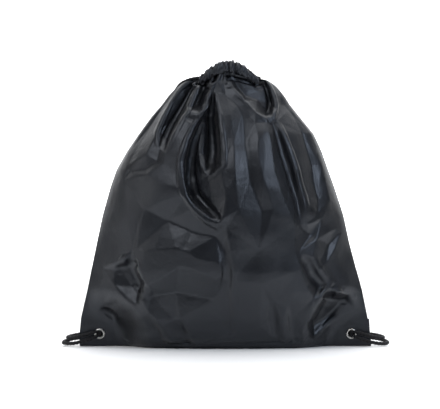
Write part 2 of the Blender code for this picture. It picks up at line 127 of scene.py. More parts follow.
# Creases in millimetres, as points of x, z and how deep the cloth is pressed in there. A negative depth is a
# ridge. The cloth lies in nearly flat facets between them.
FRONT_CREASES = [
    # the deep fold left of the neck, between two crests, and the soft valley beside it
    [(-42, 338, 0), (-66, 305, 0), (-84, 266, 0), (-97, 236, 0)],
    [(-33, 330, 8), (-48, 305, 17), (-62, 279, 21), (-73, 255, 16), (-80, 243, 4)],
    [(-26, 334, -2), (-42, 302, -3), (-45, 294, -3), (-53, 281, -3), (-64, 261, -2), (-75, 238, 0)],
    [(-84, 228, 3), (-97, 219, 4), (-118, 215, 3)],
    [(-76, 226, -1), (-97, 211, -2), (-125, 206, 0)],
    [(-60, 322, 3), (-82, 290, 6), (-105, 250, 5), (-119, 224, 2)],
    # two small loops under the channel
    [
        (-45, 294, -3), (-42, 288, -3), (-35, 286, -3), (-24, 293, -3), (-20, 302, -2), (-18.5, 316, -2),
        (-18, 322, -1),
    ],
    [(-21, 338, 9), (-29, 316, 13), (-35, 299, 12), (-29, 295, 7)],
    [(-46, 281, 0), (-35, 278, 1)],
    [(-17, 342, -1), (-18, 329, -3), (-15, 323, -3), (-11, 327, -3), (-7, 337, -3), (-6, 350, -2)],
    [(-12, 345, 6), (-13, 332, 8)],
    # the pocket left of the middle: its rim, the deep line on its right, the ridge inside it, and its left
    [
        (-15, 314, 0), (-13, 303, 0), (-9, 286, -1), (-7, 265, -2), (-5, 241, -2), (-6, 222, 0), (1, 187, -1),
        (-3, 160, -2), (-8, 154, -2), (-20, 160, -2), (-36, 173, -2), (-46, 189, -2), (-50, 207, -2),
        (-52, 229, -2), (-45, 252, -1), (-37, 271, 0), (-28, 284, 0),
    ],
    [(-18, 306, 5), (-18, 296, 11), (-17, 284, 18), (-15, 262, 25), (-14, 240, 27), (-17, 226, 24)],
    [
        (-23, 284, 10), (-24, 274, 14), (-26, 262, 17), (-30, 237, 17), (-37, 201, 15), (-20, 211, 9),
        (-6, 222, 0),
    ],
    [
        (-31, 276, 9), (-37, 260, 16), (-43, 232, 23), (-44, 207, 24), (-39, 187, 23), (-26, 173, 18),
        (-13, 163, 9),
    ],
    [(-37, 201, 15), (-20, 183, 11), (-9, 165, 4)],
    # the pocket right of the neck
    [
        (-1, 338, 0), (9, 320, -1), (20, 308, -2), (24, 302, -2), (37, 289, -3), (49, 282, -3), (56, 285, -3),
        (60, 294, -3), (59, 308, -2), (54, 322, -1), (46, 336, 0),
    ],
    [(6, 334, 5), (16, 317, 8), (24, 308, 9), (40, 304, 10), (54, 309, 12), (50, 322, 9), (42, 334, 5)],
    [(54, 309, 12), (57, 300, 14), (54, 288, 11)],
    [(-4, 330, 0), (0, 310, 1), (14, 296, 1), (30, 282, 0)],
    [(68, 298, 2), (69, 316, 2), (60, 334, 1)],
    # the long valley below it, with its steep side on the right
    [(50, 276, -1), (56, 245, -1), (60, 212, -1), (72, 175, 0), (84, 150, 0)],
    [(57, 276, 3), (69, 245, 8), (80, 212, 9), (88, 182, 7), (92, 152, 3)],
    [(62, 278, 0), (74, 246, 0), (85, 213, 0), (93, 182, 0), (98, 150, 0)],
    # the upright waves right of the middle, and the soft valley at the side
    [(6, 284, -1), (10, 250, -3), (12, 208, -3), (16, 170, -1)],
    [(20, 284, 1), (24, 250, 4), (29, 208, 4), (44, 168, 2)],
    [(36, 276, -1), (41, 246, -3), (44, 210, -3), (58, 170, -1)],
    [(80, 292, 2), (94, 262, 6), (106, 224, 8), (112, 185, 6), (112, 164, 1)],
    [(104, 276, 0), (119, 225, 0), (128, 180, 0), (128, 156, 0)],
    # two slanted creases
    [(118, 158, 0), (104, 139, 5), (90, 120, 1)],
    [(125, 154, 0), (111, 134, -1), (96, 114, 0)],
    [(136, 146, 0), (126, 126, 4), (116, 108, 1)],
    [(143, 142, 0), (134, 122, -1), (123, 104, 0)],
    # the recess low on the right and the valley that runs into it
    [(152, 64, -1), (134, 66, -3), (126, 71, -2), (113, 53, -3), (101, 32, -3), (104, 16, -2), (110, 4, 0)],
    [(150, 58, 7), (134, 60, 12), (126, 63, 15), (117, 48, 17), (106, 31, 16), (109, 17, 10), (115, 5, 3)],
    [(160, 44, 3), (146, 30, 5), (134, 14, 3)],
    [(91, 114, 1), (98, 104, 6), (106, 88, 8), (117, 75, 6)],
    [(84, 118, -1), (90, 98, -2), (98, 76, -2), (106, 62, -2)],
    [(105, 110, -1), (113, 96, -2), (124, 84, -2), (140, 78, -1)],
    # the star-shaped recess low on the left
    [
        (-152, 97, 0), (-133, 104, -1), (-118, 107, -1), (-113, 121, 0), (-106, 95, -2), (-97, 76, -3),
        (-101, 62, -2), (-108, 53, 0), (-122, 60, 0), (-136, 76, 0), (-152, 97, 0),
    ],
    [
        (-136, 95, 4), (-128, 98, 8), (-117, 102, 10), (-113, 109, 6), (-110, 92, 12), (-103, 77, 12),
        (-107, 66, 8), (-116, 76, 9), (-136, 95, 4),
    ],
    # the broad ridge beside it, between two soft valleys
    [(-100, 170, 3), (-70, 156, 6), (-40, 143, 6), (-12, 137, 5)],
    [(-108, 122, -1), (-90, 116, -5), (-56, 112, -6), (-10, 92, -4)],
    [(-90, 66, 4), (-60, 70, 6), (-15, 62, 4)],
    # the crease down the middle
    [(-5, 146, 2), (0, 120, 4), (3, 84, 4), (7, 20, 2)],
    [(0, 147, 0), (5, 120, -1), (8, 84, -1), (12, 18, 0)],
    [(40, 120, 0), (44, 80, -3), (40, 30, -1)],
    # the recess by the left eyelet
    [(-172, 40, 0), (-160, 46, -1), (-147, 49, -2), (-136, 42, -3), (-130, 28, -3), (-130, 4, -1)],
    [(-165, 36, 3), (-158, 41, 7), (-147, 44, 10), (-140, 38, 13), (-135, 27, 12), (-136, 8, 5)],
    # wrinkles along the bottom
    [(-99, 40, 0), (-86, 25, 5), (-74, 6, 4)],
    [(-92, 42, -1), (-78, 28, -2), (-64, 6, 0)],
    [(-62, 36, 1), (-54, 22, 5), (-45, 4, 4)],
    [(-54, 37, -1), (-44, 22, -2), (-36, 4, 0)],
    [(54, 56, 0), (60, 36, 5), (66, 8, 4)],
    [(60, 58, -1), (67, 36, -2), (73, 8, 0)],
    [(76, 54, 0), (81, 36, 4), (86, 8, 3)],
]

REAR_CREASES = [
    # four folds that fall from the neck, each between two crests
    [(10, 336, -1), (14, 300, -2), (30, 255, -2), (40, 218, 0)],
    [(20, 338, 8), (28, 304, 13), (44, 262, 9), (52, 220, 0)],
    [(30, 334, 0), (42, 300, 0), (58, 262, 0), (62, 224, 0)],
    [(-2, 338, 0), (-2, 292, -2), (4, 244, -2), (2, 190, 0)],
    [(-10, 340, 8), (-14, 292, 13), (-8, 245, 9), (-10, 190, 0)],
    [(-19, 336, 0), (-26, 290, 0), (-22, 240, 0), (-22, 196, 0)],
    [(-28, 326, 0), (-44, 290, -2), (-64, 250, -2), (-80, 206, 0)],
    [(-34, 332, 8), (-54, 292, 12), (-78, 252, 8), (-92, 206, 0)],
    [(-42, 334, 0), (-66, 296, 0), (-92, 254, 0)],
    [(44, 318, 0), (70, 280, -1), (92, 238, -1), (100, 200, 0)],
    [(52, 324, 5), (82, 286, 8), (104, 242, 5), (110, 200, 0)],
    [(60, 328, 0), (94, 286, 0), (116, 240, 0)],
    # the valley down the middle
    [(-3, 168, 0), (-5, 124, -1), (4, 74, -1), (8, 26, 0)],
    [(6, 170, 1), (4, 125, 7), (12, 75, 6), (14, 28, 2)],
    [(24, 160, 0), (30, 120, 0), (34, 76, 0), (30, 30, 0)],
    # a recess on either side
    [(-148, 104, 0), (-126, 118, -1), (-108, 112, -2), (-98, 86, -3), (-100, 60, -2), (-112, 38, 0)],
    [(-136, 98, 5), (-118, 102, 12), (-108, 84, 13), (-110, 58, 8)],
    [(146, 112, 0), (124, 122, -1), (106, 110, -2), (100, 84, -3), (104, 58, -2), (114, 34, 0)],
    [(134, 104, 5), (117, 106, 11), (110, 84, 12), (114, 56, 7)],
    # broad ridges under soft valleys
    [(-84, 140, 4), (-46, 128, 6), (-14, 124, 5)],
    [(-86, 118, -2), (-48, 108, -4), (-12, 102, -3)],
    [(40, 128, 4), (66, 120, 6), (86, 108, 4)],
    [(42, 106, -2), (68, 98, -4), (86, 90, -2)],
    # wrinkles along the bottom
    [(-64, 54, 0), (-55, 30, 5), (-48, 8, 3)],
    [(-56, 52, -1), (-47, 30, -2), (-40, 8, 0)],
    [(52, 50, 0), (60, 30, 5), (66, 8, 3)],
    [(60, 50, -1), (69, 30, -2), (74, 8, 0)],
]
CREASE_ROUNDING = 1  # rounds of averaging, on the finest grid
CREASE_PRESS = 1.12  # how many times as deep the cloth is pressed in as its creases say

# For each panel its creases, the seed of its random gathers and ripples, how far out of the smooth bag it may
# stand, and the height that it bends above when the mouth slides
PANELS = {
    FRONT: (FRONT_CREASES, 11, 0.003, 0.262),
    REAR: (REAR_CREASES, 23, 0.0005, 0.292),
}

# Strap cords as points out from the middle, back and up, for either hand
INNER_ROUTE = [
    (0.0354, 0.0072, 0.3290), (0.0415, 0.0040, 0.3290), (0.0488, 0.0052, 0.3277), (0.0542, 0.0124, 0.3240),
    (0.0568, 0.0280, 0.3125), (0.0585, 0.0440, 0.2935), (0.0630, 0.0620, 0.2500), (0.0680, 0.0740, 0.2050),
    (0.0720, 0.0790, 0.1600), (0.0750, 0.0785, 0.1150), (0.0780, 0.0750, 0.0700), (0.0810, 0.0750, 0.0330),
    (0.0840, 0.0820, 0.0110), (0.0860, 0.0960, 0.0029), (0.0850, 0.1150, 0.0027), (0.0900, 0.1360, 0.0027),
    (0.1080, 0.1460, 0.0027), (0.1270, 0.1390, 0.0027), (0.1340, 0.1200, 0.0027), (0.1320, 0.0950, 0.0027),
    (0.1330, 0.0720, 0.0040), (0.1430, 0.0530, 0.0095), (0.1610, 0.0355, 0.0135), (0.1785, 0.0215, 0.0138),
    (0.1915, 0.0115, 0.0122), (0.1972, 0.0010, 0.0105), (0.1915, -0.0082, 0.0105), (0.1790, -0.0105, 0.0130),
    (0.1675, -0.0088, 0.0165), (0.1585, -0.0064, 0.0184),
]
OUTER_ROUTE = [
    (0.0354, -0.0072, 0.3290), (0.0410, -0.0038, 0.3292), (0.0490, -0.0020, 0.3277), (0.0580, 0.0060, 0.3238),
    (0.0630, 0.0210, 0.3165), (0.0655, 0.0350, 0.3020), (0.0700, 0.0520, 0.2680), (0.0750, 0.0680, 0.2200),
    (0.0800, 0.0770, 0.1750), (0.0840, 0.0790, 0.1300), (0.0870, 0.0760, 0.0850), (0.0900, 0.0740, 0.0450),
    (0.0930, 0.0770, 0.0170), (0.0960, 0.0890, 0.0033), (0.0960, 0.1080, 0.0027), (0.1000, 0.1270, 0.0027),
    (0.1110, 0.1340, 0.0027), (0.1210, 0.1290, 0.0027), (0.1240, 0.1130, 0.0027), (0.1230, 0.0920, 0.0027),
    (0.1270, 0.0700, 0.0040), (0.1400, 0.0480, 0.0060), (0.1590, 0.0370, 0.0080), (0.1790, 0.0270, 0.0088),
    (0.1950, 0.0170, 0.0070), (0.2020, 0.0060, 0.0045), (0.1990, -0.0055, 0.0036), (0.1880, -0.0118, 0.0040),
    (0.1760, -0.0118, 0.0065), (0.1660, -0.0092, 0.0102), (0.1585, -0.0064, 0.0128),
]
REAR_TRAVEL = 0.007  # how far back the rear half of the mouth can slide, which the cords keep clear of

# The darkest and the lightest colour of the panels' cloth and of the channels'. The channels' cloth is the
# same nylon, painted lighter as painted light that makes up for the dark surroundings its puffs reflect
NYLON_DARK, NYLON_LIGHT = (0.0020, 0.0023, 0.0036, 1), (0.0044, 0.0050, 0.0074, 1)
CHANNEL_PAINTED_LIT_DARK, CHANNEL_PAINTED_LIT_LIGHT = (0.0036, 0.0042, 0.0062, 1), (0.0080, 0.0090, 0.0130, 1)
NYLON_THREAD = 0.00042  # from one thread to the next

# The camera stands in front of the bag, level with its middle
IMAGE_WIDTH_AT_BAG = 0.5456
CAMERA_DISTANCE = 2.4
CAMERA_X, CAMERA_Z = -0.0068, 0.1755


# ------------------------------------------------------------
# Camera, floor and light


def studio():
    """The camera, a plain floor and backdrop, and soft lights."""
    scene = bpy.context.scene
    camera_data = bpy.data.cameras.new("camera")
    camera_data.sensor_width = 36
    camera_data.lens = 36 * CAMERA_DISTANCE / IMAGE_WIDTH_AT_BAG
    camera = bpy.data.objects.new("camera", camera_data)
    camera.location = (CAMERA_X, -CAMERA_DISTANCE, CAMERA_Z)
    camera.rotation_euler = (math.radians(90), 0, 0)
    scene.collection.objects.link(camera)
    scene.camera = camera

    world = bpy.data.worlds.new("world")
    world.use_nodes = True
    sky = world.node_tree.nodes["Background"]
    sky.inputs["Color"].default_value = (0.86, 0.92, 1, 1)
    sky.inputs["Strength"].default_value = 0.10
    scene.world = world
    scene.view_settings.view_transform = "Standard"
    scene.view_settings.look = "None"

    floor = grid_object("floor", rectangle(-6, 6, -5, 3), plain_material("floor", (0.98, 0.98, 0.98, 1), 0.7))
    floor.location.z = -0.0002
    emission = {"Emission Color": (1, 1, 1, 1), "Emission Strength": 1.0}
    glow = plain_material("backdrop", (0.9, 0.9, 0.9, 1), 0.9, emission)
    backdrop = grid_object("backdrop", rectangle(-6, 6, -1, 5), glow)
    backdrop.rotation_euler = (math.radians(90), 0, 0)
    backdrop.location = (0, 3, 0)

    area_light("key", (-0.9, -1.3, 1.9), (0.0, 0.0, 0.20), (1.4, 1.0), 17, (0.97, 0.98, 1.0))
    area_light("right_fill", (1.5, -1.1, 1.3), (0.0, 0.0, 0.20), (0.5, 0.9), 14, (0.78, 0.87, 1.0))
    area_light("left_fill", (-1.7, -0.4, 0.6), (0.0, 0.0, 0.15), (0.5, 0.8), 3, (1.0, 0.98, 0.96))
    area_light("overhead", (0.3, 0.5, 2.3), (0.0, 0.2, 0.0), (2.5, 2.0), 36, (1, 1, 1))
    area_light("behind", (0.0, 2.3, 2.4), (0.0, 2.2, 0.0), (4.0, 1.2), 45, (1, 1, 1))


def rectangle(x0, x1, y0, y1):
    """Four corners on the floor's plane, as a grid for grid_object."""
    return np.array([[(x0, y0, 0), (x1, y0, 0)], [(x0, y1, 0), (x1, y1, 0)]], float)


def area_light(name, place, target, size, power, colour):
    data = bpy.data.lights.new(name, "AREA")
    data.shape = "RECTANGLE"
    data.size, data.size_y = size
    data.energy = power
    data.color = colour
    light = bpy.data.objects.new(name, data)
    light.location = place
    light.rotation_euler = (Vector(target) - Vector(place)).to_track_quat("-Z", "Y").to_euler()
    bpy.context.scene.collection.objects.link(light)


# ------------------------------------------------------------
# Materials


def shader_of(material):
    return material.node_tree.nodes["Principled BSDF"]


def plain_material(name, colour, roughness, others=None):
    """A material of one colour. others are more of its shader's inputs."""
    material = bpy.data.materials.new(name)
    material.use_nodes = True
    inputs = {"Base Color": colour, "Roughness": roughness, **(others or {})}
    for input_name, value in inputs.items():
        shader_of(material).inputs[input_name].default_value = value
    return material


def add_node(material, kind, inputs=None, **settings):
    """A node in the material, with its settings, and its inputs set or joined to other nodes' outputs."""
    tree = material.node_tree
    node = tree.nodes.new(kind)
    for name, value in settings.items():
        setattr(node, name, value)
    for name, value in (inputs or {}).items():
        if isinstance(value, bpy.types.NodeSocket):
            tree.links.new(value, node.inputs[name])
        else:
            node.inputs[name].default_value = value
    return node


def join(material, output, input_name):
    """Joins an output to the material's shader."""
    material.node_tree.links.new(output, shader_of(material).inputs[input_name])


def noise(material, coordinates, scale, detail=3.0):
    inputs = {"Vector": coordinates, "Scale": scale, "Detail": detail}
    return add_node(material, "ShaderNodeTexNoise", inputs).outputs["Fac"]


def combined(material, operation, first, second):
    """Two numbers put through a Math node."""
    return add_node(material, "ShaderNodeMath", {0: first, 1: second}, operation=operation).outputs[0]


def between(material, factor, low, high):
    """A number from low to high by the factor."""
    inputs = {"Value": factor, "From Min": 0.3, "From Max": 0.7, "To Min": low, "To Max": high}
    return add_node(material, "ShaderNodeMapRange", inputs).outputs["Result"]


def two_colours(material, factor, low, high):
    """A colour from low to high by the factor."""
    ramp = add_node(material, "ShaderNodeValToRGB", {"Fac": factor})
    for stop, place, colour in zip(ramp.color_ramp.elements, (0.3, 0.7), (low, high)):
        stop.position = place
        stop.color = colour
    return ramp.outputs["Color"]


def bump(material, height, strength, distance, below=None):
    inputs = {"Height": height, "Strength": strength, "Distance": distance}
    if below is not None:
        inputs["Normal"] = below
    return add_node(material, "ShaderNodeBump", inputs).outputs["Normal"]


def threads(material, coordinates, across, pitch):
    """A thread's rounded profile repeated across the cloth, at that pitch in metres."""
    inputs = {"Vector": coordinates, "Scale": 2 * math.pi / (20 * pitch)}
    return add_node(material, "ShaderNodeTexWave", inputs, bands_direction=across).outputs["Fac"]


def nylon_material(name, dark, light, roughness):
    """Coated nylon: a fine weave, soft crinkles, rubbed patches and a slight sheen."""
    material = plain_material(name, dark, roughness, {
        "Specular IOR Level": 0.55,
        "Specular Tint": (0.86, 0.91, 1.0, 1),
        "Sheen Weight": 0.04,
        "Sheen Roughness": 0.45,
    })
    coordinates = add_node(material, "ShaderNodeTexCoord")
    cloth, place = coordinates.outputs["UV"], coordinates.outputs["Object"]
    both = combined(material, "ADD", noise(material, place, 9.0, 4.0), noise(material, place, 38.0, 5.0))
    rubs = combined(material, "MULTIPLY", both, 0.5)
    join(material, two_colours(material, rubs, dark, light), "Base Color")
    join(material, between(material, rubs, roughness - 0.06, roughness + 0.08), "Roughness")
    warp, weft = (threads(material, cloth, across, NYLON_THREAD) for across in "XY")
    weave = combined(material, "MULTIPLY", warp, weft)
    crinkle = bump(material, noise(material, place, 70.0, 3.0), 0.35, 0.0016)
    fine = bump(material, noise(material, place, 260.0, 2.0), 0.20, 0.0004, crinkle)
    join(material, bump(material, weave, 0.25, 0.00008, fine), "Normal")
    return material


def cord_material():
    """Matt black twisted cord. Its strands are in the mesh, and the filaments' fuzz is in the bump."""
    shine = {"Specular IOR Level": 0.30, "Sheen Weight": 0.03}
    material = plain_material("black_twisted_cord", (0.010, 0.010, 0.011, 1), 0.80, shine)
    coordinates = add_node(material, "ShaderNodeTexCoord").outputs["UV"]
    fuzz = noise(material, coordinates, 900.0, 3.0)
    colour = two_colours(material, fuzz, (0.005, 0.005, 0.006, 1), (0.014, 0.014, 0.016, 1))
    join(material, colour, "Base Color")
    join(material, between(material, fuzz, 0.62, 0.82), "Roughness")
    join(material, bump(material, fuzz, 0.35, 0.0003), "Normal")
    return material


def tape_material():
    """Black woven tape and seam allowances."""
    material = plain_material("black_tape", (0.012, 0.012, 0.014, 1), 0.72)
    place = add_node(material, "ShaderNodeTexCoord").outputs["Object"]
    patches = noise(material, place, 140.0, 3.0)
    colour = two_colours(material, patches, (0.008, 0.008, 0.010, 1), (0.019, 0.019, 0.022, 1))
    join(material, colour, "Base Color")
    join(material, between(material, patches, 0.62, 0.80), "Roughness")
    join(material, bump(material, threads(material, place, "DIAGONAL", 0.0006), 0.4, 0.0001), "Normal")
    return material


def nickel_material():
    """Nickel plate, a little scratched and dulled."""
    material = plain_material("nickel", (0.70, 0.69, 0.66, 1), 0.24, {"Metallic": 1.0})
    place = add_node(material, "ShaderNodeTexCoord").outputs["Object"]
    tarnish = noise(material, place, 220.0, 4.0)
    scratches = noise(material, place, 1500.0, 2.0)
    colour = two_colours(material, tarnish, (0.58, 0.56, 0.52, 1), (0.80, 0.79, 0.77, 1))
    join(material, colour, "Base Color")
    join(material, between(material, tarnish, 0.18, 0.36), "Roughness")
    join(material, bump(material, scratches, 0.12, 0.0001), "Normal")
    return material


# ------------------------------------------------------------
# Meshes


def mesh_object(name, points, faces, uvs, material):
    """A smooth-shaded mesh object. uvs holds one (u, v) for each point, in metres along the piece."""
    mesh = bpy.data.meshes.new(name)
    mesh.from_pydata([tuple(p) for p in points], [], faces)
    layer = mesh.uv_layers.new(name="cloth")
    corner_points = np.empty(len(mesh.loops), int)
    mesh.loops.foreach_get("vertex_index", corner_points)
    layer.data.foreach_set("uv", np.asarray(uvs, float)[corner_points].ravel())
    mesh.polygons.foreach_set("use_smooth", [True] * len(mesh.polygons))
    mesh.materials.append(material)
    mesh.update()
    obj = bpy.data.objects.new(name, mesh)
    bpy.context.scene.collection.objects.link(obj)
    return obj


def grid_faces(rows, columns, wrap=False, turned=False):
    """Faces between rows and columns of points. wrap joins the last column to the first."""
    faces = []
    for r in range(rows - 1):
        for c in range(columns if wrap else columns - 1):
            right = (c + 1) % columns
            a, b = r * columns + c, r * columns + right
            d, e = (r + 1) * columns + c, (r + 1) * columns + right
            faces.append((a, d, e, b) if turned else (a, b, e, d))
    return faces


def grid_object(name, grid, material, turned=False, keep=None):
    """A sheet from an array of points [row, column, xyz]. keep says for each face if it stays."""
    rows, columns = grid.shape[:2]
    faces = grid_faces(rows, columns, turned=turned)
    if keep is not None:
        faces = [face for face, stays in zip(faces, keep.ravel()) if stays]
    u, v = np.meshgrid(np.arange(columns) * CELL, np.arange(rows) * CELL)
    return mesh_object(name, grid.reshape(-1, 3), faces, np.stack([u, v], -1).reshape(-1, 2), material)


def tube_object(name, rings, material, girth=0.02):
    """A closed tube from rings of points [ring, side, xyz]. girth is the way round it, for its texture."""
    count, sides = rings.shape[:2]
    centres = rings.mean(axis=1)
    faces = grid_faces(count, sides, wrap=True)
    first, last, end = count * sides, count * sides + 1, (count - 1) * sides
    faces += [(first, (k + 1) % sides, k) for k in range(sides)]
    faces += [(last, end + k, end + (k + 1) % sides) for k in range(sides)]
    points = np.concatenate([rings.reshape(-1, 3), centres[[0, -1]]])
    along = distances(centres)
    u, v = np.meshgrid(np.abs(np.linspace(-1, 1, sides, endpoint=False)) * girth / 2, along)
    uvs = np.concatenate([np.stack([u, v], -1).reshape(-1, 2), [[0, 0], [0, along[-1]]]])
    return mesh_object(name, points, faces, uvs, material)


def ring_object(name, profile, hand, material):
    """A ring turned about an eyelet's axis from a closed profile of (radius, y) points in millimetres."""
    turn = np.linspace(0, 2 * math.pi, 64, endpoint=False)
    radius, depth = np.array(profile).T / 1000
    points = np.stack([
        hand * EYELET_X + np.cos(turn)[:, None] * radius,
        0 * turn[:, None] + depth,
        EYELET_Z + np.sin(turn)[:, None] * radius,
    ], -1)
    count, sides = points.shape[:2]
    faces = [tuple(k % (count * sides) for k in face) for face in grid_faces(count + 1, sides, wrap=True)]
    uvs = np.stack([np.repeat(turn * 0.005, sides), np.tile(np.arange(sides) * 0.001, count)], -1)
    return mesh_object(name, points.reshape(-1, 3), faces, uvs, material)


def distances(line):
    """How far along a line each of its points lies."""
    return np.concatenate([[0], np.cumsum(np.linalg.norm(np.diff(line, axis=0), axis=1))])


def smooth(t):
    t = np.clip(t, 0.0, 1.0)
    return t * t * (3 - 2 * t)


# ------------------------------------------------------------
# The bag's cloth


def half_width(s, z):
    """How far the side seam is from the middle, on the side that s, from -1 to 1, lies on."""
    return np.where(s < 0, np.interp(z, SHAPE[:, 0], SHAPE[:, 1]), np.interp(z, SHAPE[:, 0], SHAPE[:, 2]))


def fullness(s, z):
    """How far a panel stands from the seam's plane, as a share of its depth in the middle."""
    roundness = 1.0 - 0.35 * smooth((z - 0.06) / 0.22)
    lens = np.maximum(0.0, 1 - np.abs(s) ** 2.3) ** roundness
    from_corner = np.hypot(half_width(s, z) * (1 - np.abs(s)) / EAR_WIDTH, z / EAR_HEIGHT)
    return lens * smooth((from_corner - EAR_FLAT) / (EAR_FULL - EAR_FLAT))


def mouth_line(angle, lift=0.0):
    """Points on the channel's centre line at each angle from the middle, for the half that faces +Y."""
    z = MOUTH_LOW_Z + MOUTH_ARCH * np.cos(angle / MOUTH_SWEEP * math.pi / 2) ** 1.4 + lift
    return np.stack([MOUTH_X + MOUTH_HALF_WIDTH * np.sin(angle), MOUTH_HALF_DEPTH * np.cos(angle), z], -1)


def stitch_line(s):
    """The height of the channel's stitches over its centre line. They rise at the channel's ends."""
    return 0.007 * np.abs(s) ** 6 - STITCH_DEPTH * CHANNEL_HALF_TALL


def mouth_outwards(angle):
    """The level direction out of the mouth at each angle."""
    out = np.stack([MOUTH_HALF_DEPTH * np.sin(angle), MOUTH_HALF_WIDTH * np.cos(angle), 0 * angle], -1)
    return out / np.linalg.norm(out, axis=-1, keepdims=True)


def gather_wave(s, seed):
    """The gathers across the mouth, from -1 to 1: uneven rounded puffs with narrow valleys between them."""
    rng = np.random.default_rng(seed)
    edges = np.concatenate([[0], np.cumsum(rng.uniform(0.4, 1.6, GATHERS))])
    edges = 2 * edges / edges[-1] - 1
    height = rng.uniform(0.35, 1.0, GATHERS)
    k = np.clip(np.searchsorted(edges, s, side="right") - 1, 0, GATHERS - 1)
    t = np.clip((s - edges[k]) / (edges[k + 1] - edges[k]), 0, 1)
    return 2 * height[k] * np.sin(math.pi * t) ** 0.6 - 1


def ripples(x, z, rng, wavelength, count=14):
    """Soft random waves, about -1 to 1."""
    total = np.zeros(x.shape)
    for _ in range(count):
        turn, phase = rng.uniform(0, math.pi), rng.uniform(0, 2 * math.pi)
        pitch = 2 * math.pi / (wavelength * rng.uniform(0.7, 1.6))
        total += np.sin(pitch * (x * math.cos(turn) + z * math.sin(turn)) + phase)
    return total / math.sqrt(count)


def blurred(grid, rounds, axes=(0, 1)):
    """The grid, or a line with axes=(0,), with its inner points averaged with their neighbours."""
    grid = grid.copy()
    for _ in range(rounds):
        for axis in axes:
            lines = grid.swapaxes(0, axis)
            lines[1:-1] = (lines[:-2] + 2 * lines[1:-1] + lines[2:]) / 4
    return grid


def smooth_panel(columns, rows):
    """The filled bag's smooth surface as an array [row, column, xyz], its depth along +Y."""
    s = np.linspace(-1, 1, columns + 1)
    s_grid, z_grid = np.meshgrid(s, NECK_Z * np.linspace(0, 1, 90) ** 1.4)
    depth = SEAM_Y + np.interp(z_grid, SHAPE[:, 0], SHAPE[:, 3]) * fullness(s_grid, z_grid)
    wall = np.stack([s_grid * half_width(s_grid, z_grid), depth, z_grid], -1)
    seam = wall[0] * (1, 0, 1) + (0, SEAM_Y, 0)
    floor = seam + (wall[0] - seam) * np.linspace(0, 1, 14)[:-1, None, None]
    head = mouth_line(MOUTH_SWEEP * s, stitch_line(s))
    t = np.linspace(0, 1, 26)[1:, None, None]
    skirt = wall[-1] + (head - wall[-1]) * t
    skirt[..., 2] += SHOULDER * np.abs(s) ** 3 * 4 * (t * (1 - t))[..., 0]
    profile = np.concatenate([floor, wall, skirt])
    grid = np.empty((rows + 1, columns + 1, 3))
    for i in range(columns + 1):
        along = distances(profile[:, i]) + 1e-9 * np.arange(len(profile))
        for axis in range(3):
            grid[:, i, axis] = np.interp(np.linspace(0, along[-1], rows + 1), along, profile[:, i, axis])
    return blurred(grid, 3 * rows // ROWS)


def finer(grid):
    """The grid with twice as many cells each way."""
    for axis in (0, 1):
        grid = grid.swapaxes(0, axis)
        wide = np.empty((2 * len(grid) - 1,) + grid.shape[1:])
        wide[::2] = grid
        wide[1::2] = (grid[1:] + grid[:-1]) / 2
        wide[3:-3:2] = (9 * (grid[1:-2] + grid[2:-1]) - grid[:-3] - grid[3:]) / 16
        grid = wide.swapaxes(0, axis)
    return grid


def outward_normals(grid):
    """Unit normals of a panel, on its +Y side."""
    n = np.cross(np.gradient(grid, axis=0), np.gradient(grid, axis=1))
    return n / (np.linalg.norm(n, axis=2, keepdims=True) + 1e-12)


def pressed(x, z, creases):
    """How far the cloth is pressed in at each (x, z): flat facets between the creases."""
    corners = [(-200, -10, 0), (200, -10, 0), (200, 370, 0), (-200, 370, 0)]
    edges = []
    for crease in creases:
        edges += [(len(corners) + k, len(corners) + k + 1) for k in range(len(crease) - 1)]
        corners += crease
    flat = [Vector(corner[:2]) for corner in corners]
    places, _, facets, sources, _, _ = delaunay_2d_cdt(flat, edges, [], 0, 0.01)
    depths = [corners[source[0]][2] for source in sources]
    depth = np.zeros(x.shape)
    for a, b, c in facets:
        (ax, az), (bx, bz), (cx, cz) = places[a], places[b], places[c]
        area = (bx - ax) * (cz - az) - (bz - az) * (cx - ax)
        share_b = ((x * 1000 - ax) * (cz - az) - (z * 1000 - az) * (cx - ax)) / area
        share_c = ((bx - ax) * (z * 1000 - az) - (bz - az) * (x * 1000 - ax)) / area
        inside = (share_b >= 0) & (share_c >= 0) & (share_b + share_c <= 1)
        there = depths[a] + share_b * (depths[b] - depths[a]) + share_c * (depths[c] - depths[a])
        depth = np.where(inside, there, depth)
    return CREASE_PRESS * depth / 1000


def pull(points, free, a, b, rest, stiffness, only_push=False):
    """Moves the free ones of each pair of points, a and b, towards their rest distance."""
    d = points[b] - points[a]
    length = np.sqrt((d * d).sum(-1)) + 1e-9
    miss = (length - rest) / length * stiffness / (free[a] + free[b] + 1e-9)
    if only_push:
        miss = np.minimum(miss, 0.0)
    d *= miss[..., None]
    points[a] += free[a][..., None] * d
    points[b] -= free[b][..., None] * d


def pull_rows(points, free, rest, step, stiffness, only_push=False):
    """Pulls each row of points and the row so many steps on towards their distance."""
    for offset in range(2 * step):
        a, b = slice(offset, len(points) - step, 2 * step), slice(offset + step, None, 2 * step)
        pull(points, free, a, b, rest[a], stiffness, only_push)


